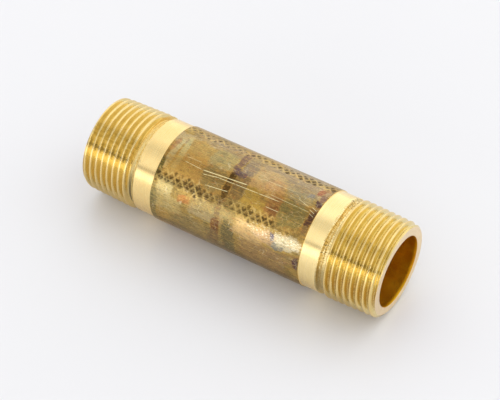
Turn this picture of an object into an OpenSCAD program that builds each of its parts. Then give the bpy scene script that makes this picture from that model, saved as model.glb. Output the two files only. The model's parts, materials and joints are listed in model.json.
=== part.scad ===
// Threaded brass pipe nipple: a straight length of pipe with a right-hand
// taper pipe thread cut on each end, a turned land behind each thread and a
// plain barrel left between them. The axis lies along +X, the origin is on
// the axis at mid length, and +Z is up.

/* [Pipe] */
// Length over both ends, mm
overall_length = 88.9; // [60:0.1:150]
// Outside diameter of the pipe, left as it is on the barrel, mm
pipe_od = 26.67; // [21:0.01:34]
// Diameter of the through bore, mm
bore_d = 19.5; // [14:0.1:26]

/* [Thread] */
// Distance from one crest to the next, mm
pitch = 1.8143; // [1:0.0001:2.5]
// Diameter over the crests at the end of the pipe, mm
thread_end_od = 25.9; // [20:0.01:33]
// Height from root to crest, mm
thread_height = 1.3; // [0.8:0.01:1.6]
// Width of the flat on each crest, mm
crest_flat = 0.18; // [0.05:0.01:0.4]
// Width of the flat in each root, mm
root_flat = 0.13; // [0.05:0.01:0.4]
// Growth in diameter for each mm of length
taper = 0.0625; // [0.03:0.0005:0.09]
// Length from the end of the pipe to the relief groove, mm
thread_length = 14.8; // [8:0.1:25]
// Angle at which the thread starts on the +X end, degrees
start_angle_plus = 230; // [0:1:360]
// Angle at which the thread starts on the -X end, degrees
start_angle_minus = 18; // [0:1:360]

/* [Ends] */
// Outside diameter of the flat end face, mm
face_od = 24.4; // [20:0.1:32]
// Angle between the end chamfer and the end face, degrees
chamfer_angle = 45; // [30:1:60]

/* [Relief grooves] */
// Diameter of the groove floor behind each thread, mm
groove_d = 24.0; // [20:0.1:32]
// Length of the groove floor on the +X end, mm
groove_floor_plus = 0.8; // [0.2:0.1:3]
// Length of the groove floor on the -X end, mm
groove_floor_minus = 1.1; // [0.2:0.1:3]
// Length of the slope from the groove floor up to the land, mm
groove_slope = 0.8; // [0.2:0.1:3]

/* [Lands] */
// Diameter of the turned land beside each groove, mm
land_d = 26.14; // [20:0.01:33]
// Length of the land on the +X end, mm
land_plus = 5.1; // [2:0.1:12]
// Length of the land on the -X end, mm
land_minus = 5.8; // [2:0.1:12]

/* [Hidden] */
facets_per_turn = 36;
round_facets = 120;
sink = 0.6;
half = overall_length / 2;
taper_slope = taper / 2;
flank = (pitch - crest_flat - root_flat) / 2;
land_start_plus = thread_length + groove_floor_plus + groove_slope;
land_start_minus = thread_length + groove_floor_minus + groove_slope;
run_past = 0.4;
clear_of_thread = 2;
chamfer_rise = pipe_od / 2 + clear_of_thread - face_od / 2;

// Radius over the crests at distance s from the end of the pipe
function crest_r(s) = min(pipe_od / 2, thread_end_od / 2 + s * taper_slope);

// Radius of the roots at distance s from the end of the pipe
function root_r(s) = thread_end_od / 2 + s * taper_slope - thread_height;

// Four points across one pitch: root, root, crest, crest
offsets = [0, root_flat, root_flat + flank, root_flat + flank + crest_flat];
is_crest = [false, false, true, true];

// Solid rod with the thread on its outside, running past both planes that cut it
module thread_rod(start_angle) {
    low = half - thread_length - pitch - run_past;
    steps = ceil((thread_length + 2 * (pitch + run_past) + pitch) / pitch * facets_per_turn);
    f = facets_per_turn;
    high = low + pitch * steps / f;
    ribbon = [
        for (k = [0 : steps], j = [0 : 3])
            let (
                a = start_angle + 360 * k / f,
                z = low + pitch * k / f + offsets[j],
                r = is_crest[j] ? crest_r(half - z) : root_r(half - z)
            )
            [r * cos(a), r * sin(a), z]
    ];
    bottom = len(ribbon);
    top = bottom + 1;
    strips = [
        for (k = [0 : steps - 1], j = [0 : 2])
            let (a = 4 * k + j, b = a + 1, c = a + 5, d = a + 4)
            each [[a, b, c], [a, c, d]]
    ];
    joins = [
        for (k = [0 : steps - f - 1])
            let (a = 4 * k + 3, b = 4 * (k + f), c = b + 4, d = a + 4)
            each [[a, b, c], [a, c, d]]
    ];
    bottom_fan = [
        for (k = [0 : f - 1]) [4 * k, 4 * (k + 1), bottom],
        for (j = [0 : 2]) [j + 1, j, bottom],
        [4 * f, 3, bottom]
    ];
    top_fan = [
        for (k = [steps - f : steps - 1]) [4 * (k + 1) + 3, 4 * k + 3, top],
        for (j = [0 : 2]) [4 * steps + j, 4 * steps + j + 1, top],
        [4 * (steps - f) + 3, 4 * steps, top]
    ];
    polyhedron(
        points = concat(ribbon, [[0, 0, low - 1], [0, 0, high + 1]]),
        faces = concat(strips, joins, bottom_fan, top_fan),
        convexity = 4
    );
}

// The threaded end: the rod cut square at the groove and chamfered at the face
module threaded_end(start_angle) {
    intersection() {
        thread_rod(start_angle);
        rotate_extrude($fn = round_facets)
            polygon([
                [0, half - thread_length],
                [face_od / 2 + chamfer_rise, half - thread_length],
                [face_od / 2 + chamfer_rise, half - chamfer_rise / tan(90 - chamfer_angle)],
                [face_od / 2, half],
                [0, half]
            ]);
    }
}

// The plain middle: groove, land, barrel, land, groove, turned in one profile
module plain_middle() {
    rotate_extrude($fn = round_facets)
        polygon([
            [0, -half + thread_length - sink],
            [groove_d / 2, -half + thread_length - sink],
            [groove_d / 2, -half + thread_length + groove_floor_minus],
            [land_d / 2, -half + land_start_minus],
            [land_d / 2, -half + land_start_minus + land_minus],
            [pipe_od / 2, -half + land_start_minus + land_minus],
            [pipe_od / 2, half - land_start_plus - land_plus],
            [land_d / 2, half - land_start_plus - land_plus],
            [land_d / 2, half - land_start_plus],
            [groove_d / 2, half - thread_length - groove_floor_plus],
            [groove_d / 2, half - thread_length + sink],
            [0, half - thread_length + sink]
        ]);
}

// The whole nipple, one piece of brass pipe
module nipple() {
    color([0.80, 0.64, 0.32])
        rotate([0, 90, 0])
            difference() {
                union() {
                    plain_middle();
                    threaded_end(start_angle_plus);
                    rotate([180, 0, 0])
                        threaded_end(start_angle_minus);
                }
                translate([0, 0, -half - 1])
                    cylinder(d = bore_d, h = overall_length + 2, $fn = round_facets);
            }
}

nipple();
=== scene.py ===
"""Threaded brass pipe nipple: the looks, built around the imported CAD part."""

import json
import math

import bpy
import numpy as np
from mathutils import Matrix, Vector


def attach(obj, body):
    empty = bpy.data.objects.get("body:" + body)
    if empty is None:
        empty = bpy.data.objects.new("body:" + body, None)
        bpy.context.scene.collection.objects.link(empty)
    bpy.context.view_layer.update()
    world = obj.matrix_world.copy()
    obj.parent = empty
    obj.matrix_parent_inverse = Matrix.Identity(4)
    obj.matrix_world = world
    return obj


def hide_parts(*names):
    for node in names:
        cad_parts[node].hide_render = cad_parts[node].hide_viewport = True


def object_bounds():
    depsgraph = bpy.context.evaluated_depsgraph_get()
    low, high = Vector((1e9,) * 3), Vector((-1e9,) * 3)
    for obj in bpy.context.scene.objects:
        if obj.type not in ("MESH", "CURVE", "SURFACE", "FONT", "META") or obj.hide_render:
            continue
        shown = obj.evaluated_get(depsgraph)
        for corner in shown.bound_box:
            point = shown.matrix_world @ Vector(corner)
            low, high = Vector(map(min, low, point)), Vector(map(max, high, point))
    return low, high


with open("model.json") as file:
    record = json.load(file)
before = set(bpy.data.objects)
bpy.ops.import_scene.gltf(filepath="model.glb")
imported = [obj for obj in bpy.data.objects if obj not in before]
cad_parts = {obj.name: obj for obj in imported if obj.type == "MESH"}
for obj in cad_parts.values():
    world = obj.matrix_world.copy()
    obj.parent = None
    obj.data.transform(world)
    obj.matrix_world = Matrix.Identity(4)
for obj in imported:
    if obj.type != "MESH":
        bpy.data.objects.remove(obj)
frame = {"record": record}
cad_low, cad_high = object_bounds()
record = frame["record"]
mounts = {m["name"]: m for m in record["mounts"]}
rng = np.random.default_rng(41)

# ---------------------------------------------------------------- sizes, in mm
MM = 0.001
HALF = (cad_high.x - cad_low.x) / 2 / MM
PIPE_R = mounts["barrel"]["dims"]["r_mm"]
BORE_R = mounts["bore"]["dims"]["r_mm"]
BARREL_MID = mounts["barrel"]["pos_m"][0] / MM
BARREL_LEN = mounts["barrel"]["dims"]["length_mm"]
BARREL_A = BARREL_MID - BARREL_LEN / 2
BARREL_B = BARREL_MID + BARREL_LEN / 2
# The rest repeats part.scad
PITCH = 1.8143
THREAD_END_R = 12.95
TAPER = 1 / 32
THREAD_LEN = 14.8
FACE_R = 12.2
GROOVE_R = 12.0
GROOVE_FLOOR_PLUS = 0.8
GROOVE_FLOOR_MINUS = 1.1
GROOVE_SLOPE = 0.8
LAND_R = 13.07
LAND_PLUS = HALF - THREAD_LEN - GROOVE_FLOOR_PLUS - GROOVE_SLOPE
LAND_MINUS = HALF - THREAD_LEN - GROOVE_FLOOR_MINUS - GROOVE_SLOPE
START_PLUS = 230
START_MINUS = 18
RUN_PAST = 0.4
CREST_MIDDLE = 0.972
# Where the middle of a crest crosses the +Y side, from those start angles
CREST_FIRST = HALF - THREAD_LEN - PITCH - RUN_PAST + CREST_MIDDLE
CREST_PLUS = CREST_FIRST + PITCH * (90 - START_PLUS) / 360
CREST_MINUS = PITCH * (START_MINUS + 90) / 360 - CREST_FIRST

# Pipe-vise jaws left four rows of diamond tooth marks along the barrel:
# (angle, where a row starts, how far the rows are shifted round, how hard it was gripped along the barrel)
JAWS = (
    (66, 0.1, 0.0, ((-24, 0.75), (-12, 0.7), (-9, 0.6), (-4, 0.6), (-1, 0.85), (0, 0.95), (24, 1.0))),
    (
        139,
        0.7,
        0.25,
        ((-24, 0.85), (-6, 0.95), (-4, 0.5), (0, 0.45), (3, 0.9), (13, 1.0), (15, 0.35), (24, 0.3)),
    ),
    (246, 1.3, 0.0, ((-24, 0.9), (-3, 0.9), (2, 0.6), (9, 0.95), (24, 0.8))),
    (319, 0.1, 0.25, ((-24, 0.4), (-16, 0.9), (4, 0.95), (8, 0.5), (24, 0.9))),
)
# The teeth: length along the barrel, width round it, height, how deep they bit,
# and half the width of a jaw in degrees
TOOTH_PITCH = 2.0
TOOTH_ROWS = 2.6
TOOTH_HEIGHT = 0.22
BITE = 0.25
JAW_SPAN = 10.4
# How deep each tooth bit and how far it is out of place, for a repeating field of teeth
FIELD = 64
tooth_wear = rng.uniform(0.45, 1.10, (FIELD, FIELD))
tooth_slip = np.random.default_rng(8).uniform(-0.10, 0.10, (2, FIELD, FIELD))


# ---------------------------------------------------------------- the one skin
JAW_COLUMNS = 27
COLUMN_STEP = 5.1  # degrees between columns elsewhere
BARREL_ROWS = 224


def column_angles():
    """Angles of the columns of vertices: close together across the jaw marks."""
    angles = []
    for i, (angle, _, _, _) in enumerate(JAWS):
        start, stop = angle - JAW_SPAN, angle + JAW_SPAN
        angles += list(np.linspace(start, stop, JAW_COLUMNS))
        after = JAWS[(i + 1) % len(JAWS)][0] - JAW_SPAN + (360 if i == len(JAWS) - 1 else 0)
        count = round((after - stop) / COLUMN_STEP)
        angles += list(np.linspace(stop, after, count + 1)[1:-1])
    return np.radians(np.array(angles))


ANGLES = column_angles()
COLUMNS = len(ANGLES)


class Skin:
    """Vertices and faces of one closed surface, as rings round the X axis."""

    def __init__(self):
        self.co, self.pit, self.ridge = [], [], []
        self.faces, self.slots = [], []

    def ring(self, x, r, pit=None, ridge=None):
        first = len(self.co)
        x = np.broadcast_to(x, COLUMNS)
        r = np.broadcast_to(r, COLUMNS)
        for k in range(COLUMNS):
            self.co.append((x[k], r[k] * math.cos(ANGLES[k]), r[k] * math.sin(ANGLES[k])))
        self.pit += list(pit) if pit is not None else [0.0] * COLUMNS
        self.ridge += list(ridge) if ridge is not None else [0.0] * COLUMNS
        return list(range(first, first + COLUMNS))

    def face(self, corners, slot):
        kept = [c for i, c in enumerate(corners) if c != corners[i - 1]]
        if len(set(kept)) >= 3:
            self.faces.append(kept)
            self.slots.append(slot)

    def strip(self, a, b, slot):
        for k in range(COLUMNS):
            n = (k + 1) % COLUMNS
            self.face([a[k], a[n], b[n], b[k]], slot)

    def rings(self, last, rows, slot):
        for x, r, *floor_dirt_and_shade in rows:
            new = self.ring(x, r, floor_dirt_and_shade * COLUMNS or None)
            self.strip(last, new, slot)
            last = new
        return last


# Drop below the crest at each distance from the middle of the crest
ACROSS = (0, 0.08, 0.14, 0.20, 0.39, 0.58, 0.76, 0.85, PITCH / 2)
DROP = (0, 0.008, 0.035, 0.120, 0.480, 0.84, 1.15, 1.26, 1.295)

# Across one pitch: +1 on the lip low on the +X flank, where a highlight is painted, -1 in the torn root,
# where shade is painted
TORN_AT = (-0.85, -0.76, 0.39, 0.58, 0.76, 0.85, 0.907)
TORN = (-0.9, 0.0, 0.0, 0.15, 1.0, -0.6, -1.0)


def crest_radius(x):
    return np.minimum(PIPE_R, THREAD_END_R + (HALF - abs(x)) * TAPER)


def thread_radius(x, angle, crest_at):
    """Radius of the cut thread, held inside the end chamfer, its edges a little worn."""
    turns = (x - crest_at) / PITCH - angle / (2 * math.pi)
    d = abs(turns - np.round(turns)) * PITCH
    wear = 0.012 * np.sin(3 * angle + x) + 0.008 * np.sin(11 * angle + 2.3 * x)
    r = crest_radius(x) - np.interp(d, ACROSS, DROP) - np.abs(wear) * (d < 0.2)
    chamfer = FACE_R + (HALF - abs(x))
    # The smaller of the two, blended where they are close. 12 keeps the powers small
    soft, about = 0.02, 12
    return -soft * np.log(np.exp(-(r - about) / soft) + np.exp(-(chamfer - about) / soft)) + about


# Half a nick's length along the pipe in mm, and half its width round it in radians
NICK_HALF = 1.0
NICK_TURN = 0.11
# Each nick: its distance from the end, its angle and its depth
NICKS = [(rng.uniform(1.2, 14), rng.uniform(0, 2 * math.pi), rng.uniform(0.03, 0.09)) for _ in range(26)]


def nicked(x, angle, r):
    """Small flats knocked into the crests."""
    s = HALF - abs(x)
    for at, where, deep in NICKS:
        turn = (angle - where + (1 if x > 0 else 2) + math.pi) % (2 * math.pi) - math.pi
        near = abs(s - at) < NICK_HALF and abs(turn) < NICK_TURN
        if near and r > crest_radius(x) - 0.06:
            return r - deep * (1 - (turn / NICK_TURN) ** 2)
    return r


def threaded_zone(skin, ring_a, xa, xb, crest_at, slot):
    """Rows that follow the helix between the rings at xa and xb. Returns the ring at xb."""
    ring_b = skin.ring(xb, [float(thread_radius(xb, t, crest_at)) for t in ANGLES])
    offsets = sorted([-d for d in ACROSS[1:-1]] + list(ACROSS))
    per_turn = len(offsets)
    first = math.floor((xa - crest_at) / PITCH) - 3
    last = math.ceil((xb - crest_at) / PITCH) + 2
    base = [crest_at + m * PITCH + o for m in range(first, last + 1) for o in offsets]
    snap = 0.045  # points this near a ring join it
    ids = [[None] * (COLUMNS + 1) for _ in base]
    for i, b in enumerate(base):
        for k in range(COLUMNS):
            x = b + PITCH * ANGLES[k] / (2 * math.pi)
            if x <= xa + snap:
                ids[i][k] = ring_a[k]
            elif x >= xb - snap:
                ids[i][k] = ring_b[k]
            else:
                r = nicked(x, ANGLES[k], float(thread_radius(x, ANGLES[k], crest_at)))
                ids[i][k] = len(skin.co)
                skin.co.append((x, r * math.cos(ANGLES[k]), r * math.sin(ANGLES[k])))
                skin.pit.append(float(np.clip((crest_radius(x) - r) / 1.3, 0, 1)))
                skin.ridge.append(float(np.interp(offsets[i % per_turn], TORN_AT, TORN)))
    for i in range(len(base)):
        ids[i][COLUMNS] = ids[i + per_turn][0] if i + per_turn < len(base) else ring_b[0]
    for i in range(len(base) - 1):
        for k in range(COLUMNS):
            skin.face([ids[i][k], ids[i][k + 1], ids[i + 1][k + 1], ids[i + 1][k]], slot)
    return ring_b


def jaw_marks(x, angle):
    """Depth, pit and ridge left by the diamond teeth of the vise jaws."""
    drop = np.zeros(COLUMNS)
    pit = np.zeros(COLUMNS)
    ridge = np.zeros(COLUMNS)
    for centre, start, shift, grip in JAWS:
        turn = (np.degrees(angle) - centre + 180) % 360 - 180
        w = np.radians(turn) * PIPE_R
        xs, ps = zip(*grip)
        press = BITE * np.interp(x, xs, ps)
        a = (x - start) / TOOTH_PITCH + w / TOOTH_ROWS + shift
        b = (x - start) / TOOTH_PITCH - w / TOOTH_ROWS - shift
        ia, ib = np.round(a).astype(int), np.round(b).astype(int)
        pick = (ia + ib) % FIELD, (ia - ib + int(centre)) % FIELD
        from_a, from_b = a - ia - tooth_slip[0][pick], b - ib - tooth_slip[1][pick]
        tooth = 2 * TOOTH_HEIGHT * np.maximum(abs(from_a), abs(from_b))
        reach = press * tooth_wear[pick] - w * w / (2 * PIPE_R)
        inside = (abs(turn) < JAW_SPAN) & (x > BARREL_A + 0.3) & (x < BARREL_B - 0.3)
        deep = np.where(inside, np.clip(reach - tooth, 0, None), 0)
        crest = np.where(inside, np.clip(reach / 0.10, 0, 1) * np.exp(-abs(TOOTH_HEIGHT - tooth) / 0.03), 0)
        drop += deep
        # Each pit in an outer row is dark on the side towards the middle of the jaw, and paler outside
        dx = x - start - (ia + ib) * TOOTH_PITCH / 2
        row = TOOTH_ROWS * ((ia - ib) / 2 - shift)
        pale = np.exp(-((dx / 0.34) ** 2) - ((w - row - 0.4 * np.sign(row)) / 0.5) ** 2)
        pit += np.clip(deep / 0.05, 0, 1) * (1 - 0.75 * pale * (shift > 0))
        ridge += crest
    return drop, pit, ridge


def build_skin():
    skin = Skin()
    angle = ANGLES
    chatter = 0.010 * np.sin(5 * angle + 0.4) + 0.006 * np.sin(13 * angle)
    THREAD, LAND, BARREL, GROOVE, FACE, BORE = range(6)

    # -X end face outline, then its thread
    ring = skin.ring(-HALF, [float(thread_radius(-HALF, t, CREST_MINUS)) for t in angle])
    outline_minus = ring
    ring = threaded_zone(skin, ring, -HALF, -HALF + THREAD_LEN, CREST_MINUS, THREAD)

    def swell(at, width):
        return np.exp(-((((np.degrees(angle) - at + 180) % 360 - 180) / width) ** 2))

    def groove(last, side):
        """From the end of the thread to the start of the land, or back: floor, small ridge, shoulder."""
        far = HALF - THREAD_LEN
        near = LAND_PLUS if side > 0 else LAND_MINUS
        foot = near + GROOVE_SLOPE
        rag = 0.03 * np.sin(17 * angle) + 0.02 * np.sin(41 * angle + 1)
        high = 0.34 if side > 0 else 0.66
        if side > 0:
            wave = -0.25 + 0.42 * (swell(100, 16) + 0.8 * swell(243, 20) + 0.6 * swell(338, 14))
        else:
            wave = 0.05 * np.sin(4 * angle) - 0.13
        # Each row: x, radius, and the floor mask that the groove material turns into dirt on the +X end and
        # painted shade on the -X end
        rows = [
            (far - 0.04, GROOVE_R + 0.06, 0.6),
            (far - 0.12, GROOVE_R, 1.0),
            ((far + foot) / 2, GROOVE_R + 0.02, 1.0),
            (foot + 0.15, GROOVE_R + 0.02, 1.0),
            (foot - 0.02, GROOVE_R + 0.10, 0.2),
            (foot - 0.10, GROOVE_R + 0.7 * high, 0.0),
            (foot - 0.17, GROOVE_R + 0.97 * high, 0.0),
            (foot - 0.26, GROOVE_R + high + rag, 0.0),
            (foot - 0.38, GROOVE_R + 0.76 * high + rag, 0.35),
            (foot - 0.52 + wave * 0.5, GROOVE_R + 0.74 * high - rag, 0.6),
            (near + 0.16 + wave, GROOVE_R + 0.60, 1.0),
            (near + 0.07 + wave, LAND_R - 0.08, 0.4),
            (near + wave, LAND_R - 0.02, 0.0),
        ]
        rows = [(side * x, r, floor_dirt_and_shade) for x, r, floor_dirt_and_shade in rows]
        return skin.rings(last, rows if side < 0 else rows[::-1], GROOVE)

    def land(last, x0, x1, slot):
        count = max(2, round(abs(x1 - x0) / 0.7))
        rows = [(x, LAND_R + chatter) for x in np.linspace(x0, x1, count + 1)]
        return skin.rings(last, rows, slot)

    ring = groove(ring, -1)
    # The turned shoulders wander a little, because the pipe isn't quite round
    edge_a = BARREL_A + 0.10 * np.sin(angle + 1.0) + 0.03 * np.sin(6 * angle)
    edge_b = BARREL_B + 0.12 * np.sin(angle + 2.5) + 0.04 * np.sin(5 * angle + 1)
    ring = land(ring, -LAND_MINUS + 0.15, BARREL_A - 0.35, LAND)
    ring = skin.rings(ring, [(edge_a - 0.06, LAND_R), (edge_a - 0.01, LAND_R + 0.03)], LAND)
    ring = skin.rings(ring, [(edge_a + 0.01, PIPE_R - 0.06), (edge_a + 0.06, PIPE_R - 0.015)], BARREL)
    for j in range(1, BARREL_ROWS):
        x = edge_a + 0.06 + (edge_b - edge_a - 0.12) * j / BARREL_ROWS
        drop, pit, ridge = jaw_marks(x, angle)
        wander = 0.008 * np.sin(2 * angle + 0.05 * x) - 0.008
        new = skin.ring(x, PIPE_R + wander - drop, pit, ridge)
        skin.strip(ring, new, BARREL)
        ring = new
    ring = skin.rings(ring, [(edge_b - 0.06, PIPE_R - 0.015), (edge_b - 0.01, PIPE_R - 0.06)], BARREL)
    ring = skin.rings(ring, [(edge_b + 0.01, LAND_R + 0.03), (edge_b + 0.06, LAND_R)], LAND)
    ring = land(ring, BARREL_B + 0.35, LAND_PLUS - 0.45, LAND)
    ring = groove(ring, 1)
    # groove() ends beside the thread: the thread's own first ring closes it
    foot = HALF - THREAD_LEN
    start = skin.ring(foot, [float(thread_radius(foot, t, CREST_PLUS)) for t in angle])
    skin.strip(ring, start, GROOVE)
    ring = threaded_zone(skin, start, foot, HALF, CREST_PLUS, THREAD)

    # +X end face, the bore, the -X end face
    ring = skin.rings(ring, [(HALF, 11.35), (HALF, 10.6), (HALF, BORE_R + 0.16)], FACE)
    ring = skin.rings(ring, [(HALF - 0.03, BORE_R + 0.06)], FACE)
    ring = skin.rings(ring, [(HALF - 0.12, BORE_R + 0.005)], BORE)
    for x in np.linspace(HALF - 1, -HALF + 1, 27):
        draw = 0.012 * np.sin(4 * angle + 0.1 * x) + 0.008 * np.sin(9 * angle)
        ring = skin.rings(ring, [(x, BORE_R + draw * min(1, (HALF - abs(x)) / 6))], BORE)
    ring = skin.rings(ring, [(-HALF + 0.12, BORE_R + 0.005)], BORE)
    ring = skin.rings(ring, [(-HALF + 0.03, BORE_R + 0.06), (-HALF, BORE_R + 0.16)], FACE)
    ring = skin.rings(ring, [(-HALF, 10.6), (-HALF, 11.35)], FACE)
    skin.strip(ring, outline_minus, FACE)
    return skin


def make_object(skin, name):
    mesh = bpy.data.meshes.new(name)
    mesh.from_pydata([(x * MM, y * MM, z * MM) for x, y, z in skin.co], [], skin.faces)
    mesh.polygons.foreach_set("material_index", skin.slots)
    for label, values in (("pit", skin.pit), ("ridge", skin.ridge)):
        mesh.attributes.new(label, "FLOAT", "POINT").data.foreach_set("value", values)
    mesh.validate()
    mesh.polygons.foreach_set("use_smooth", [True] * len(mesh.polygons))
    mesh.set_sharp_from_angle(angle=math.radians(38))
    mesh.update()
    obj = bpy.data.objects.new(name, mesh)
    bpy.context.scene.collection.objects.link(obj)
    return obj


# ---------------------------------------------------------------- node helpers
class Tree:
    """Short calls that add shader nodes and link them."""

    def __init__(self, tree):
        self.nodes, self.links = tree.nodes, tree.links

    def put(self, socket, value):
        if isinstance(value, bpy.types.NodeSocket):
            self.links.new(value, socket)
        elif isinstance(value, tuple) and len(value) == 3 and socket.type == "RGBA":
            socket.default_value = (*value, 1)
        else:
            socket.default_value = value

    def math(self, op, a, b=0.0, c=0.0, clamp=False):
        n = self.nodes.new("ShaderNodeMath")
        n.operation, n.use_clamp = op, clamp
        for i, v in enumerate((a, b, c)):
            self.put(n.inputs[i], v)
        return n.outputs[0]

    def vector(self, op, a, b=(0.0, 0.0, 0.0)):
        n = self.nodes.new("ShaderNodeVectorMath")
        n.operation = op
        self.put(n.inputs[0], a)
        self.put(n.inputs[1], b)
        return n.outputs["Value"] if op == "LENGTH" else n.outputs[0]

    def combine(self, x, y, z):
        n = self.nodes.new("ShaderNodeCombineXYZ")
        for i, v in enumerate((x, y, z)):
            self.put(n.inputs[i], v)
        return n.outputs[0]

    def split(self, v):
        n = self.nodes.new("ShaderNodeSeparateXYZ")
        self.put(n.inputs[0], v)
        return n.outputs

    def noise(self, v, scale, detail=3.0, rough=0.55):
        n = self.nodes.new("ShaderNodeTexNoise")
        self.put(n.inputs["Vector"], v)
        n.inputs["Scale"].default_value = scale
        n.inputs["Detail"].default_value = detail
        n.inputs["Roughness"].default_value = rough
        return n.outputs["Fac"]

    def cells(self, v, scale, feature="F1"):
        n = self.nodes.new("ShaderNodeTexVoronoi")
        n.feature = feature
        self.put(n.inputs["Vector"], v)
        n.inputs["Scale"].default_value = scale
        return n.outputs["Distance"]

    def remap(self, v, a, b, c=0.0, d=1.0):
        """Eases from c where v is a to d where v is b."""
        n = self.nodes.new("ShaderNodeMapRange")
        n.interpolation_type = "SMOOTHSTEP"
        for i, x in enumerate((v, a, b, c, d)):
            self.put(n.inputs[i], x)
        return n.outputs[0]

    def mix(self, fac, a, b, how="MIX"):
        n = self.nodes.new("ShaderNodeMix")
        n.data_type, n.blend_type = "RGBA", how
        self.put(n.inputs[0], fac)
        self.put(n.inputs[6], a)
        self.put(n.inputs[7], b)
        return n.outputs[2]

    def ramp(self, fac, stops):
        n = self.nodes.new("ShaderNodeValToRGB")
        self.put(n.inputs[0], fac)
        line = n.color_ramp
        while len(line.elements) < len(stops):
            line.elements.new(0.5)
        for e, (at, colour) in zip(line.elements, stops):
            e.position = at
            e.color = (*colour, 1) if isinstance(colour, tuple) else (colour, colour, colour, 1)
        return n.outputs[0]

    def attribute(self, name):
        n = self.nodes.new("ShaderNodeAttribute")
        n.attribute_name = name
        return n.outputs["Fac"]

    def bump(self, height, strength, distance_mm):
        n = self.nodes.new("ShaderNodeBump")
        n.inputs["Strength"].default_value = strength
        n.inputs["Distance"].default_value = distance_mm * MM
        self.put(n.inputs["Height"], height)
        return n.outputs[0]

    def away(self, turn, middle):
        """Degrees round the pipe from the angle called middle."""
        return self.math("ABSOLUTE", self.math("WRAP", self.math("SUBTRACT", turn, middle), 180.0, -180.0))

    def unrolled(self, x, turn, per_mm, per_degree, third=0.0):
        """A texture place on the skin laid flat."""
        return self.combine(self.math("MULTIPLY", x, per_mm), self.math("MULTIPLY", turn, per_degree), third)


def stain_group():
    """A patch on the barrel with a broken edge: 1 inside, 0 outside, at a place along and round it."""
    g = bpy.data.node_groups.new("stain", "ShaderNodeTree")
    for name in ("X", "Turn", "Grain", "At X", "At Turn", "Half X", "Half Turn", "Soft"):
        g.interface.new_socket(name, in_out="INPUT", socket_type="NodeSocketFloat")
    g.interface.new_socket("Mask", in_out="OUTPUT", socket_type="NodeSocketFloat")
    t = Tree(g)
    i, o = g.nodes.new("NodeGroupInput"), g.nodes.new("NodeGroupOutput")
    x, turn, grain, at_x, at_turn, half_x, half_turn, soft = i.outputs[:8]
    dx = t.math("DIVIDE", t.math("SUBTRACT", x, at_x), half_x)
    dt = t.math("DIVIDE", t.math("WRAP", t.math("SUBTRACT", turn, at_turn), 180.0, -180.0), half_turn)
    square = t.vector("LENGTH", t.combine(t.math("MULTIPLY", dx, dx), t.math("MULTIPLY", dt, dt), 0.0))
    d = t.math("SQRT", square)
    inside = t.remap(d, t.math("SUBTRACT", 1.0, soft), t.math("ADD", 1.0, soft), 1.0, 0.0)
    broken = t.math("ADD", inside, t.math("MULTIPLY_ADD", grain, 1.1, -0.55))
    t.put(o.inputs[0], t.remap(broken, 0.30, 0.75))
    return g


STAIN = None


def stain(t, x, turn, grain, *shape):
    global STAIN
    if STAIN is None:
        STAIN = stain_group()
    n = t.nodes.new("ShaderNodeGroup")
    n.node_tree = STAIN
    for i, v in enumerate((x, turn, grain) + tuple(float(v) for v in shape)):
        t.put(n.inputs[i], v)
    return n.outputs[0]


def metal(name, anisotropic, across):
    """A metal material, with its tree, its shader, the place in mm, x, and the turn in degrees."""
    m = bpy.data.materials.new(name)
    m.use_nodes = True
    t = Tree(m.node_tree)
    shader = m.node_tree.nodes["Principled BSDF"]
    shader.inputs["Metallic"].default_value = 1.0
    shader.inputs["Anisotropic"].default_value = anisotropic
    shader.inputs["Anisotropic Rotation"].default_value = 0.25 if across else 0.0
    tangent = t.nodes.new("ShaderNodeTangent")
    tangent.direction_type, tangent.axis = "RADIAL", "X"
    t.put(shader.inputs["Tangent"], tangent.outputs[0])
    coords = t.nodes.new("ShaderNodeTexCoord")
    place = t.vector("MULTIPLY", coords.outputs["Object"], (1000.0, 1000.0, 1000.0))
    x, y, z = t.split(place)
    turn = t.math("MULTIPLY", t.math("ARCTAN2", z, y), math.degrees(1))
    return m, t, shader, place, x, turn


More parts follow.
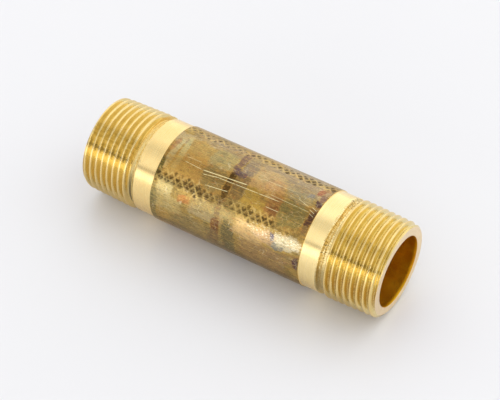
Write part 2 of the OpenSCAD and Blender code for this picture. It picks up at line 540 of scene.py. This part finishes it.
# ---------------------------------------------------------------- materials
def thread_material():
    m, t, s, place, x, turn = metal("brass_thread", 0.8, True)
    depth = t.attribute("pit")
    tone = t.noise(place, 0.5, 4)
    valley = t.mix(t.remap(tone, 0.35, 0.65), (0.75, 0.59, 0.225), (0.81, 0.65, 0.27))
    crest = t.mix(t.remap(tone, 0.35, 0.65), (0.82, 0.61, 0.25), (0.87, 0.66, 0.29))
    colour = t.mix(t.remap(depth, 0.12, 0.34), crest, valley)
    colour = t.mix(t.remap(x, -1.0, 1.0, 0.25, 0.0), colour, (0.80, 0.64, 0.36))
    lines = t.noise(t.vector("MULTIPLY", place, (9.0, 0.35, 0.35)), 1.0, 3)
    colour = t.mix(t.remap(lines, 0.35, 0.7, 0.0, 0.35), colour, (0.66, 0.47, 0.15))
    # Painted shade: valleys on the underside, round 178 degrees, darker and more orange
    off = t.away(turn, 178.0)
    painted_low_valley_shade = t.math("MULTIPLY", t.remap(off, 6.0, 24.0, 1.0, 0.0), t.remap(depth, 0.15, 0.5))
    painted_low_valley_shade = t.math("MULTIPLY", painted_low_valley_shade, t.remap(x, -1.0, 1.0, 0.25, 0.6))
    colour = t.mix(painted_low_valley_shade, colour, (0.62, 0.40, 0.12))
    torn = t.noise(t.unrolled(x, turn, 1.4, 0.7), 1.0, 3, 0.6)
    flecks = t.math("MULTIPLY", t.remap(torn, 0.26, 0.38, 0.55, 0.0), t.remap(depth, 0.04, 0.2))
    colour = t.mix(flecks, colour, (0.34, 0.21, 0.05))

    # Painted shade: darker noisy patches in the valleys along a band round 127 degrees, more on the -X end
    off = t.away(turn, 127.0)
    painted_valley_shade = t.noise(t.unrolled(x, turn, 0.8, 0.24, 3.0), 1.0, 2)
    painted_valley_shade = t.math("MULTIPLY", t.remap(painted_valley_shade, 0.40, 0.56, 1.0, 0.0), t.remap(off, 8.0, 17.0, 1.0, 0.0))
    colour = t.mix(t.math("MULTIPLY", painted_valley_shade, t.remap(x, -1.0, 1.0, 0.50, 0.15)), colour, (0.56, 0.42, 0.13))

    # The +X thread is torn in its roots: the burr low on the +X flank gets a painted highlight, and the torn
    # root below it a dark, ragged painted shade
    plus = t.remap(x, -1.0, 1.0)
    torn_at = t.attribute("ridge")
    painted_lip_highlight = t.math("MAXIMUM", torn_at, 0.0)
    colour = t.mix(t.math("MULTIPLY", painted_lip_highlight, plus), colour, (0.97, 0.86, 0.50))
    # Painted shade: dark beads on the lip, only round the front underside near 180 degrees
    beads = t.noise(t.unrolled(x, turn, 1.5, 0.80, 5.0), 1.0, 2)
    off = t.away(turn, 180.0)
    front = t.math("MULTIPLY", t.remap(off, 28.0, 40.0, 1.0, 0.0), plus)
    painted_bead_shade = t.math("MULTIPLY", t.remap(torn_at, 0.0, 0.4), t.remap(beads, 0.40, 0.52, 0.65, 0.0))
    colour = t.mix(t.math("MULTIPLY", painted_bead_shade, front), colour, (0.42, 0.29, 0.10))
    # Painted shade: a dark, ragged line along the torn root of the +X thread
    teeth = t.noise(t.unrolled(x, turn, 0.9, 0.62), 1.0, 1)
    root = t.math("MAXIMUM", t.math("MULTIPLY", torn_at, -1.0), 0.0)
    painted_root_shade = t.math("MULTIPLY", root, t.remap(teeth, 0.42, 0.58, 0.8, 0.1))
    colour = t.mix(t.math("MULTIPLY", painted_root_shade, plus), colour, (0.38, 0.28, 0.11))
    t.put(s.inputs["Base Color"], colour)
    rough = t.remap(lines, 0.3, 0.7, 0.10, 0.17)
    t.put(s.inputs["Roughness"], t.math("MULTIPLY_ADD", t.math("MULTIPLY", painted_lip_highlight, plus), 0.30, rough))
    marks = t.math("MULTIPLY_ADD", torn, 0.8, t.math("MULTIPLY", lines, 0.6))
    t.put(s.inputs["Normal"], t.bump(marks, 0.4, 0.04))
    return m


def land_material():
    m, t, s, place, x, _ = metal("brass_land", 0.85, True)
    tone = t.noise(place, 0.35, 3)
    colour = t.mix(t.remap(tone, 0.35, 0.65), (0.95, 0.735, 0.335), (0.98, 0.77, 0.37))
    lines = t.noise(t.vector("MULTIPLY", place, (7.0, 0.10, 0.10)), 1.0, 3)
    colour = t.mix(t.remap(lines, 0.40, 0.75, 0.0, 0.30), colour, (0.86, 0.63, 0.25))
    minus = t.remap(x, -1.0, 1.0, 0.55, 0.0)
    blotch = t.remap(t.noise(place, 0.7, 3), 0.40, 0.62, 0.55, 1.0)
    colour = t.mix(t.math("MULTIPLY", minus, blotch), colour, (0.90, 0.62, 0.235))
    t.put(s.inputs["Base Color"], colour)
    t.put(s.inputs["Roughness"], t.remap(lines, 0.3, 0.7, 0.25, 0.33))
    t.put(s.inputs["Normal"], t.bump(lines, 0.35, 0.02))
    return m


def face_material():
    m, t, s, place, _, turn = metal("brass_face", 0.6, True)
    _, y, z = t.split(place)
    radius = t.vector("LENGTH", t.combine(0.0, y, z))
    rings = t.noise(t.unrolled(radius, turn, 6.0, 0.004), 1.0, 3)
    tone = t.noise(place, 0.5, 3)
    colour = t.mix(t.remap(tone, 0.35, 0.65), (0.84, 0.66, 0.41), (0.90, 0.72, 0.46))
    colour = t.mix(t.remap(rings, 0.4, 0.7, 0.0, 0.3), colour, (0.80, 0.62, 0.32))
    t.put(s.inputs["Base Color"], colour)
    t.put(s.inputs["Roughness"], t.remap(rings, 0.3, 0.7, 0.32, 0.42))
    t.put(s.inputs["Normal"], t.bump(rings, 0.35, 0.02))
    return m


def groove_material():
    m, t, s, place, x, turn = metal("brass_groove", 0.0, True)
    chips = t.cells(t.unrolled(x, turn, 1.3, 0.55), 1.0)
    tone = t.noise(place, 1.6, 4)
    colour = t.mix(t.remap(tone, 0.35, 0.65), (0.84, 0.63, 0.25), (0.97, 0.78, 0.36))
    plus = t.remap(x, -1.0, 1.0)
    for middle, spread in ((66.0, 9.0), (141.0, 8.0), (262.0, 25.0)):
        off = t.away(turn, middle)
        zone = t.math("MULTIPLY", t.remap(off, spread, spread * 2, 1.0, 0.0), plus)
        chipped = t.math("MULTIPLY", t.remap(chips, 0.22, 0.40, 0.95, 0.0), zone)
        colour = t.mix(chipped, colour, (0.10, 0.07, 0.03))
    ticks = t.noise(t.unrolled(x, turn, 1.5, 0.85), 1.0, 2)
    dark_ticks = t.math("MULTIPLY", t.remap(ticks, 0.36, 0.48, 0.65, 0.0), plus)
    colour = t.mix(dark_ticks, colour, (0.40, 0.28, 0.10))
    pale_ticks = t.math("MULTIPLY", t.remap(ticks, 0.52, 0.62, 0.0, 0.8), plus)
    colour = t.mix(pale_ticks, colour, (1.0, 0.88, 0.54))
    # Groove floor: on the -X end a painted shade, darkest on the underside round 187 degrees; on the +X end
    # patchy dirt
    floor_dirt_and_shade = t.attribute("pit")
    paint = t.mix(plus, (0.21, 0.17, 0.08), (0.50, 0.38, 0.17))
    off = t.away(turn, 187.0)
    dirt_and_shade_amount = t.mix(plus, t.remap(off, 12.0, 60.0, 0.95, 0.12), t.remap(tone, 0.42, 0.62, 0.40, 0.0))
    colour = t.mix(t.math("MULTIPLY", floor_dirt_and_shade, dirt_and_shade_amount), colour, paint)
    # Painted shade: the +X groove darker on the underside, round 187 degrees
    low = t.math("MULTIPLY", t.remap(off, 12.0, 32.0, 0.6, 0.0), plus)
    colour = t.mix(low, colour, (0.34, 0.25, 0.10))
    t.put(s.inputs["Base Color"], colour)
    t.put(s.inputs["Roughness"], t.remap(tone, 0.3, 0.7, 0.30, 0.5))
    t.put(s.inputs["Normal"], t.bump(chips, 0.8, 0.08))
    return m


def bore_material():
    m, t, s, place, x, turn = metal("brass_bore", 0.4, False)
    draw = t.noise(t.vector("MULTIPLY", place, (0.06, 1.2, 1.2)), 1.0, 4)
    tone = t.noise(place, 0.30, 4, 0.6)
    colour = t.mix(t.remap(tone, 0.35, 0.65), (0.72, 0.31, 0.008), (1.0, 0.58, 0.024))
    colour = t.mix(t.remap(draw, 0.42, 0.68, 0.0, 0.35), colour, (0.60, 0.27, 0.006))
    s.inputs["Specular Tint"].default_value = (0.80, 0.48, 0.06, 1)
    # Painted light: the lower inside of the bore, round 255 degrees, brighter orange
    off = t.away(turn, 255.0)
    colour = t.mix(t.remap(off, 15.0, 80.0, 0.75, 0.0), colour, (1.0, 0.70, 0.04))
    # Painted shade: the bore darker near each mouth
    painted_mouth_shade = t.remap(t.math("ABSOLUTE", x), HALF - 4.0, HALF - 0.4, 0.0, 0.6)
    colour = t.mix(painted_mouth_shade, colour, (0.40, 0.17, 0.004))
    t.put(s.inputs["Base Color"], colour)
    t.put(s.inputs["Roughness"], t.remap(draw, 0.3, 0.7, 0.40, 0.50))
    t.put(s.inputs["Normal"], t.bump(t.math("ADD", draw, tone), 0.3, 0.05))
    return m


# Heat stains on the barrel, and one band of painted shade along the underside: place along it in mm, angle,
# half length, half angle, softness, strength, colour
STAINS = (
    (-14.0, 108, 5.0, 30, 0.45, 0.75, (0.52, 0.33, 0.10)),
    (-13.5, 88, 5.0, 11, 0.6, 0.65, (0.45, 0.30, 0.10)),
    (-9.5, 149, 4.0, 7, 0.6, 0.75, (0.36, 0.24, 0.075)),
    (-5.5, 161, 5.0, 7, 0.6, 0.7, (0.52, 0.40, 0.20)),
    (-3.5, 151, 6.5, 8, 0.6, 0.7, (0.34, 0.26, 0.115)),
    (-6.0, 139, 8.0, 6, 0.5, 0.8, (0.19, 0.125, 0.045)),
    (13.0, 84, 10.0, 12, 0.6, 0.6, (0.42, 0.33, 0.22)),
    (-11.0, 67, 6.5, 7, 0.6, 0.6, (0.26, 0.19, 0.12)),
    (-20.0, 86, 3.0, 10, 0.6, 0.6, (0.52, 0.42, 0.25)),
    (13.0, 59, 7.0, 6, 0.6, 0.6, (0.44, 0.38, 0.31)),
    (4.0, 113, 2.6, 9, 0.6, 0.6, (0.30, 0.21, 0.085)),
    (3.0, 74, 21.0, 9, 0.6, 0.5, (0.33, 0.26, 0.19)),
    # Painted shade: a dark band the whole length of the underside, round 212 degrees, near the floor
    (0.0, 212, 30.0, 15, 0.5, 0.85, (0.18, 0.110, 0.040)),
    (-6.6, 120, 3.4, 12, 0.40, 0.80, (0.26, 0.205, 0.085)),
    (-6.7, 94, 3.7, 14, 0.5, 0.7, (0.39, 0.33, 0.155)),
    (-19.9, 106, 0.8, 22, 0.5, 0.85, (0.60, 0.51, 0.26)),
    (-17.8, 106, 0.8, 24, 0.5, 0.8, (0.56, 0.48, 0.22)),
    (-20.7, 99, 0.5, 10, 0.6, 0.7, (0.50, 0.25, 0.11)),
    (-21.5, 131, 1.2, 12, 0.4, 0.95, (0.12, 0.11, 0.035)),
    (-18.2, 150, 2.3, 12, 0.6, 0.7, (0.62, 0.51, 0.23)),
    (-17.0, 168, 4.5, 12, 0.6, 0.65, (0.64, 0.48, 0.19)),
    (-16.5, 122, 3.6, 9, 0.6, 0.6, (0.52, 0.35, 0.10)),
    (-21.4, 190, 1.3, 34, 0.5, 0.7, (0.20, 0.18, 0.08)),
    (5.5, 122, 4.5, 16, 0.5, 0.85, (0.50, 0.35, 0.08)),
    (5.0, 96, 5.5, 15, 0.5, 0.75, (0.58, 0.40, 0.19)),
    (9.5, 99, 3.0, 8, 0.7, 0.55, (0.54, 0.30, 0.14)),
    (11.4, 121, 2.0, 14, 0.7, 0.8, (0.36, 0.18, 0.07)),
    (8.5, 113, 1.6, 8, 0.8, 0.5, (0.42, 0.24, 0.09)),
    (12.1, 126, 1.3, 7, 0.9, 0.7, (0.19, 0.085, 0.035)),
    (17.0, 122, 3.7, 14, 0.4, 0.9, (0.24, 0.21, 0.08)),
    (16.5, 99, 3.6, 9, 0.6, 0.65, (0.30, 0.26, 0.15)),
    (-2.1, 120, 0.9, 20, 0.40, 0.95, (0.075, 0.042, 0.014)),
    (0.9, 116, 1.9, 20, 0.5, 0.8, (0.20, 0.145, 0.075)),
    (0.3, 134, 1.8, 8, 0.5, 0.7, (0.22, 0.14, 0.05)),
    (-2.3, 80, 0.9, 24, 0.4, 0.85, (0.19, 0.11, 0.09)),
    (-0.7, 99, 1.8, 5, 0.5, 0.95, (0.12, 0.08, 0.10)),
    (1.0, 89, 2.0, 9, 0.6, 0.75, (0.27, 0.21, 0.16)),
    (2.0, 139, 3.0, 7, 0.5, 0.6, (0.24, 0.19, 0.07)),
    (-12.3, 155, 1.7, 4.6, 0.9, 0.9, (0.47, 0.20, 0.06)),
    (-2.2, 178, 1.4, 18, 0.6, 0.9, (0.19, 0.065, 0.030)),
    (-2.8, 198, 1.8, 9, 0.7, 0.7, (0.27, 0.12, 0.07)),
    (-2.2, 150, 0.7, 12, 0.5, 0.6, (0.20, 0.12, 0.06)),
    (1.9, 182, 2.1, 24, 0.5, 0.85, (0.15, 0.13, 0.065)),
    (8.0, 158, 4.5, 12, 0.6, 0.75, (0.74, 0.49, 0.22)),
    (12.6, 155, 3.0, 8, 0.7, 0.55, (0.66, 0.43, 0.26)),
    (18.5, 153, 4.0, 8, 0.7, 0.65, (0.68, 0.62, 0.42)),
    (17.5, 173, 4.5, 8, 0.6, 0.7, (0.30, 0.20, 0.09)),
    (14.0, 152, 0.6, 5, 0.6, 0.85, (0.12, 0.11, 0.16)),
    (16.2, 160, 1.8, 3, 0.6, 0.75, (0.16, 0.18, 0.17)),
    (12.0, 184, 7.0, 18, 0.6, 0.65, (0.36, 0.22, 0.11)),
    (20.6, 79, 0.9, 6, 0.9, 0.8, (0.36, 0.11, 0.07)),
    (21.6, 68, 0.8, 8, 0.7, 0.6, (0.26, 0.11, 0.08)),
    (21.7, 99, 1.0, 5, 0.7, 0.95, (0.075, 0.035, 0.05)),
    (21.8, 119, 0.9, 10, 0.9, 0.95, (0.085, 0.042, 0.04)),
    (21.9, 133, 0.8, 6, 0.9, 0.6, (0.14, 0.09, 0.06)),
    (21.7, 108, 0.9, 7, 0.9, 0.5, (0.16, 0.08, 0.05)),
    (22.1, 88, 0.7, 7, 0.7, 0.7, (0.22, 0.11, 0.10)),
    (18.8, 89, 0.8, 4, 0.8, 0.6, (0.24, 0.24, 0.24)),
    (21.9, 173, 0.9, 7, 0.9, 0.95, (0.09, 0.035, 0.05)),
    (-8.0, 195, 8.0, 22, 0.6, 0.55, (0.30, 0.24, 0.12)),
    (-15.0, 232, 6.0, 22, 0.5, 0.7, (0.50, 0.30, 0.11)),
    (2.0, 238, 2.2, 34, 0.4, 0.85, (0.15, 0.09, 0.06)),
    (11.0, 262, 5.0, 26, 0.5, 0.7, (0.26, 0.21, 0.09)),
    (-7.0, 284, 5.5, 20, 0.5, 0.7, (0.54, 0.34, 0.11)),
    (15.5, 298, 4.0, 16, 0.5, 0.7, (0.48, 0.24, 0.10)),
    (-18.0, 300, 3.0, 26, 0.5, 0.7, (0.24, 0.19, 0.09)),
    (3.0, 330, 4.0, 22, 0.5, 0.7, (0.40, 0.33, 0.20)),
    (-3.2, 352, 1.8, 30, 0.4, 0.85, (0.16, 0.10, 0.08)),
    (-12.5, 12, 5.0, 24, 0.5, 0.7, (0.50, 0.31, 0.11)),
    (10.0, 20, 6.0, 26, 0.5, 0.65, (0.30, 0.24, 0.10)),
    (18.5, 350, 2.6, 26, 0.5, 0.75, (0.36, 0.20, 0.13)),
    (21.9, 262, 0.9, 34, 0.5, 0.85, (0.11, 0.06, 0.06)),
    (21.9, 20, 0.8, 26, 0.5, 0.85, (0.13, 0.07, 0.06)),
    (-21.2, 350, 1.1, 40, 0.5, 0.75, (0.17, 0.15, 0.07)),
)

TURN_PER_MM = 4.3  # degrees round the barrel

# Bright scratches: start x and angle, end x and angle, width in mm, strength
SCRATCHES = (
    (-10.6, 115.6, 3.0, 110.4, 0.19, 1.0),
    (-9.8, 119.8, -5.5, 116.4, 0.16, 0.9),
    (-6.5, 116.6, 13.0, 113.2, 0.15, 0.85),
    (-8.0, 129.8, -1.2, 126.4, 0.15, 0.9),
    (9.7, 124.4, 13.6, 124.2, 0.13, 0.8),
    (-15.8, 114.3, -10.4, 115.6, 0.14, 0.7),
    (-16.0, 108.5, -11.5, 108.0, 0.12, 0.5),
    (9.0, 110.0, 21.0, 110.5, 0.12, 0.6),
    (20.9, 104.0, 22.4, 106.2, 0.15, 0.8),
    (20.5, 107.6, 22.2, 110.0, 0.15, 0.7),
    (21.0, 112.0, 22.4, 113.9, 0.14, 0.6),
    (5.0, 96.0, 15.0, 94.5, 0.12, 0.4),
    (16.5, 101.0, 20.0, 105.0, 0.13, 0.6),
    (-12.0, 225.0, 6.0, 221.0, 0.17, 0.9),
    (-4.0, 285.0, 15.0, 289.0, 0.17, 0.8),
    (-18.0, 350.0, 2.0, 347.0, 0.17, 0.9),
    (4.0, 20.0, 17.0, 17.0, 0.15, 0.8),
)


def barrel_material():
    m, t, s, place, x, turn = metal("brass_barrel_tarnished", 0.0, False)
    warp_a = t.math("SUBTRACT", t.noise(place, 0.22, 4), 0.5)
    warp_b = t.math("SUBTRACT", t.noise(t.vector("ADD", place, (40.0, 7.0, 3.0)), 0.22, 4), 0.5)
    wx = t.math("ADD", x, t.math("MULTIPLY", warp_a, 2.2))
    wt = t.math("ADD", turn, t.math("MULTIPLY", warp_b, 20.0))
    grain = t.noise(t.vector("MULTIPLY", place, (1.0, 1.9, 1.9)), 1.0, 5, 0.7)

    tone = t.noise(place, 0.16, 4, 0.6)
    browns = [(0.36, (0.26, 0.18, 0.058)), (0.50, (0.38, 0.25, 0.073)), (0.64, (0.50, 0.315, 0.088))]
    colour = t.ramp(tone, browns)
    for at_x, at_turn, half_x, half_turn, soft, amount, paint in STAINS:
        mask = stain(t, wx, wt, grain, at_x, at_turn, half_x, half_turn, soft)
        colour = t.mix(t.math("MULTIPLY", mask, amount), colour, paint)

    # Coppery and grey-green flecks drawn out along the pipe
    flecks = t.noise(t.vector("MULTIPLY", place, (0.55, 1.3, 1.3)), 1.0, 4, 0.65)
    colour = t.mix(t.remap(flecks, 0.56, 0.70, 0.0, 0.5), colour, (0.52, 0.24, 0.085))
    colour = t.mix(t.remap(flecks, 0.32, 0.44, 0.4, 0.0), colour, (0.27, 0.26, 0.12))

    # Cloudy mottling, fine streaks along the pipe, specks, painted glints and fine curved scuffs
    cloud = t.noise(place, 0.8, 5, 0.65)
    colour = t.mix(t.remap(cloud, 0.30, 0.48, 0.38, 0.0), colour, (0.14, 0.095, 0.035))
    colour = t.mix(t.remap(cloud, 0.52, 0.72, 0.0, 0.45), colour, (0.62, 0.40, 0.11))
    streak = t.noise(t.vector("MULTIPLY", place, (0.30, 3.4, 3.4)), 1.0, 4, 0.65)
    colour = t.mix(t.remap(streak, 0.32, 0.48, 0.42, 0.0), colour, (0.13, 0.09, 0.04))
    colour = t.mix(t.remap(streak, 0.52, 0.70, 0.0, 0.42), colour, (0.71, 0.47, 0.125))
    specks = t.noise(place, 2.6, 2, 0.5)
    colour = t.mix(t.remap(specks, 0.60, 0.70, 0.0, 0.4), colour, (0.77, 0.54, 0.19))
    colour = t.mix(t.remap(specks, 0.30, 0.40, 0.4, 0.0), colour, (0.09, 0.06, 0.04))
    # Painted highlight: pale glints in a patch round 15.5 mm and 150 degrees, where the broad highlight
    # falls
    glints = t.remap(t.noise(t.vector("MULTIPLY", place, (1.6, 3.8, 3.8)), 1.0, 1), 0.54, 0.64)
    painted_glint_patch = t.math("MULTIPLY", stain(t, x, turn, grain, 15.5, 150, 8.5, 7, 0.8), 0.5)
    colour = t.mix(t.math("MULTIPLY", glints, painted_glint_patch), colour, (0.95, 0.86, 0.62))
    edges = t.cells(t.vector("MULTIPLY", place, (0.5, 0.9, 0.9)), 1.0, "DISTANCE_TO_EDGE")
    scuffs = t.remap(edges, 0.0, 0.035, 1.0, 0.0)
    where = t.remap(t.noise(t.vector("ADD", place, (9.0, 2.0, 5.0)), 0.30, 2), 0.54, 0.62, 0.0, 0.5)
    colour = t.mix(t.math("MULTIPLY", scuffs, where), colour, (0.86, 0.74, 0.46))

    # A band along the top, round 122 degrees, is darker and yellower
    off = t.away(turn, 122.0)
    tinted = t.mix(1.0, colour, (0.96, 0.85, 0.72), "MULTIPLY")
    colour = t.mix(t.remap(off, 12.0, 28.0, 1.0, 0.0), colour, tinted)

    # Jaw marks: dark in the pits, bare metal on the ridges left between them
    grit = t.remap(t.noise(place, 2.2, 2), 0.36, 0.62, 0.5, 1.0)
    colour = t.mix(t.math("MULTIPLY", t.attribute("pit"), grit, clamp=True), colour, (0.060, 0.034, 0.010))
    bare = t.remap(t.noise(t.vector("ADD", place, (3.0, 8.0, 1.0)), 0.45, 3), 0.36, 0.62, 0.35, 0.9)
    colour = t.mix(t.math("MULTIPLY", t.attribute("ridge"), bare, clamp=True), colour, (0.74, 0.52, 0.17))

    rough = t.remap(streak, 0.3, 0.7, 0.20, 0.32)
    for x0, t0, x1, t1, width, amount in SCRATCHES:
        slope = (t1 - t0) / (x1 - x0)
        along = t.math("MULTIPLY_ADD", x, slope, t0 - slope * x0)
        off = t.away(turn, along)
        line = t.remap(off, 0.22 * width * TURN_PER_MM, 0.65 * width * TURN_PER_MM, 1.0, 0.0)
        length = x1 - x0
        from_middle = t.math("ABSOLUTE", t.math("SUBTRACT", x, (x0 + x1) / 2))
        ends = t.remap(from_middle, length * 0.42, length * 0.5, 1.0, 0.0)
        broken = t.remap(t.noise(t.vector("ADD", place, (x0, t0, 0.0)), 1.1, 2), 0.32, 0.44, 0.25, 1.0)
        mask = t.math("MULTIPLY", t.math("MULTIPLY", line, ends), t.math("MULTIPLY", broken, amount))
        colour = t.mix(mask, colour, (1.0, 0.88, 0.50))
        rough = t.math("MULTIPLY_ADD", mask, 0.25, rough)

    t.put(s.inputs["Base Color"], colour)
    s.inputs["Specular Tint"].default_value = (0.93, 0.86, 0.74, 1)
    t.put(s.inputs["Roughness"], rough)
    brushed = t.math("MULTIPLY_ADD", streak, 0.8, t.math("MULTIPLY", specks, 0.5))
    t.put(s.inputs["Normal"], t.bump(brushed, 0.3, 0.03))
    return m


# ---------------------------------------------------------------- the piece
nipple = make_object(build_skin(), "nipple_brass")
for make_material in (
    thread_material,
    land_material,
    barrel_material,
    groove_material,
    face_material,
    bore_material,
):
    nipple.data.materials.append(make_material())
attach(nipple, "root")
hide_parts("nipple")


# ---------------------------------------------------------------- floor, light and camera
def floor_material():
    m = bpy.data.materials.new("floor_pale")
    m.use_nodes = True
    t = Tree(m.node_tree)
    s = m.node_tree.nodes["Principled BSDF"]
    coords = t.nodes.new("ShaderNodeTexCoord")
    tone = t.noise(coords.outputs["Object"], 6.0, 2)
    t.put(s.inputs["Base Color"], t.mix(tone, (0.78, 0.78, 0.80), (0.81, 0.81, 0.83)))
    s.inputs["Roughness"].default_value = 0.32
    s.inputs["Specular IOR Level"].default_value = 0.5
    return m


floor_mesh = bpy.data.meshes.new("floor")
REACH = 8.0  # metres
corners = [(-REACH, -REACH), (REACH, -REACH), (REACH, REACH), (-REACH, REACH)]
floor_mesh.from_pydata([(x, y, cad_low.z) for x, y in corners], [], [(0, 1, 2, 3)])
floor = bpy.data.objects.new("floor", floor_mesh)
floor.data.materials.append(floor_material())
bpy.context.scene.collection.objects.link(floor)


SKY = 2.0  # the brightest band
BACKDROP = 0.93  # what the camera sees above the horizon
# Light from the sky by direction round the pipe: 0 is the front horizon, 0.5 straight up, 1 the back horizon
SKY_BANDS = (
    (0.00, 2.00),
    (0.06, 1.95),
    (0.11, 1.65),
    (0.130, 1.30),
    (0.141, 0.32),
    (0.163, 0.32),
    (0.174, 1.20),
    (0.225, 1.26),
    (0.29, 1.16),
    (0.345, 1.06),
    (0.365, 0.83),
    (0.495, 0.80),
    (0.508, 0.96),
    (0.60, 1.03),
    (0.80, 1.22),
    (1.00, 1.45),
)
# The same towards the -X side, which is what the flanks of the threads show
SIDE_BANDS = (
    (0.00, 2.00),
    (0.06, 1.95),
    (0.070, 1.55),
    (0.092, 0.30),
    (0.152, 0.30),
    (0.21, 0.85),
    (0.340, 1.08),
    (0.355, 0.75),
    (0.370, 0.75),
    (0.385, 1.20),
    (0.425, 1.30),
    (0.440, 0.60),
    (0.455, 0.60),
    (0.475, 1.20),
    (0.60, 1.10),
    (1.00, 1.30),
)


def soft_studio():
    """Pale room light, brighter and darker in long bands that run beside the pipe."""
    world = bpy.data.worlds.new("studio")
    bpy.context.scene.world = world
    world.use_nodes = True
    t = Tree(world.node_tree)
    back = world.node_tree.nodes["Background"]
    coords = t.nodes.new("ShaderNodeTexCoord")
    dx, dy, dz = t.split(coords.outputs["Generated"])
    up = t.math("MULTIPLY", t.math("ARCTAN2", dz, t.math("MULTIPLY", dy, -1.0)), 1 / math.pi)
    bands = t.ramp(up, [(at, light / SKY) for at, light in SKY_BANDS])
    side = t.ramp(up, [(at, light / SKY) for at, light in SIDE_BANDS])
    bands = t.mix(t.remap(dx, -0.48, -0.58), bands, side)
    path = t.nodes.new("ShaderNodeLightPath")
    # At the horizon the backdrop meets the floor's own brightness, which changes from front to back
    horizon = t.remap(dy, -0.35, 0.40, 0.87 / SKY, 1.0 / SKY)
    haze = t.remap(dz, 0.0, 0.10, horizon, BACKDROP / SKY)
    seen = t.mix(path.outputs["Is Camera Ray"], bands, t.combine(haze, haze, haze))
    t.put(back.inputs["Color"], seen)
    back.inputs["Strength"].default_value = SKY


soft_studio()


def softbox(name, at, width, height, radiance):
    light = bpy.data.lights.new(name, "AREA")
    light.shape, light.size, light.size_y = "RECTANGLE", width, height
    light.energy = radiance * math.pi * width * height
    obj = bpy.data.objects.new(name, light)
    obj.location = at
    direction = -obj.location.normalized()
    obj.rotation_mode = "QUATERNION"
    obj.rotation_quaternion = direction.to_track_quat("-Z", "Y")
    bpy.context.scene.collection.objects.link(obj)
    obj.visible_camera = False


softbox("key_overhead", (0.30, 0.45, 1.15), 1.2, 1.2, 0.5)


def camera():
    azimuth, elevation, distance = math.radians(32.16), math.radians(45.3), 0.4654
    target = (-0.00013, 0.00089, 0.00082)
    back = (
        math.sin(azimuth) * math.cos(elevation),
        -math.cos(azimuth) * math.cos(elevation),
        math.sin(elevation),
    )
    data = bpy.data.cameras.new("camera")
    data.sensor_width, data.lens = 36.0, 128.87
    data.clip_start, data.clip_end = 0.01, 50
    obj = bpy.data.objects.new("camera", data)
    obj.location = [c + b * distance for c, b in zip(target, back)]
    obj.rotation_euler = (math.pi / 2 - elevation, 0, azimuth)
    bpy.context.scene.collection.objects.link(obj)
    bpy.context.scene.camera = obj


camera()
bpy.context.scene.view_settings.view_transform = "Standard"
bpy.context.scene.view_settings.look = "None"
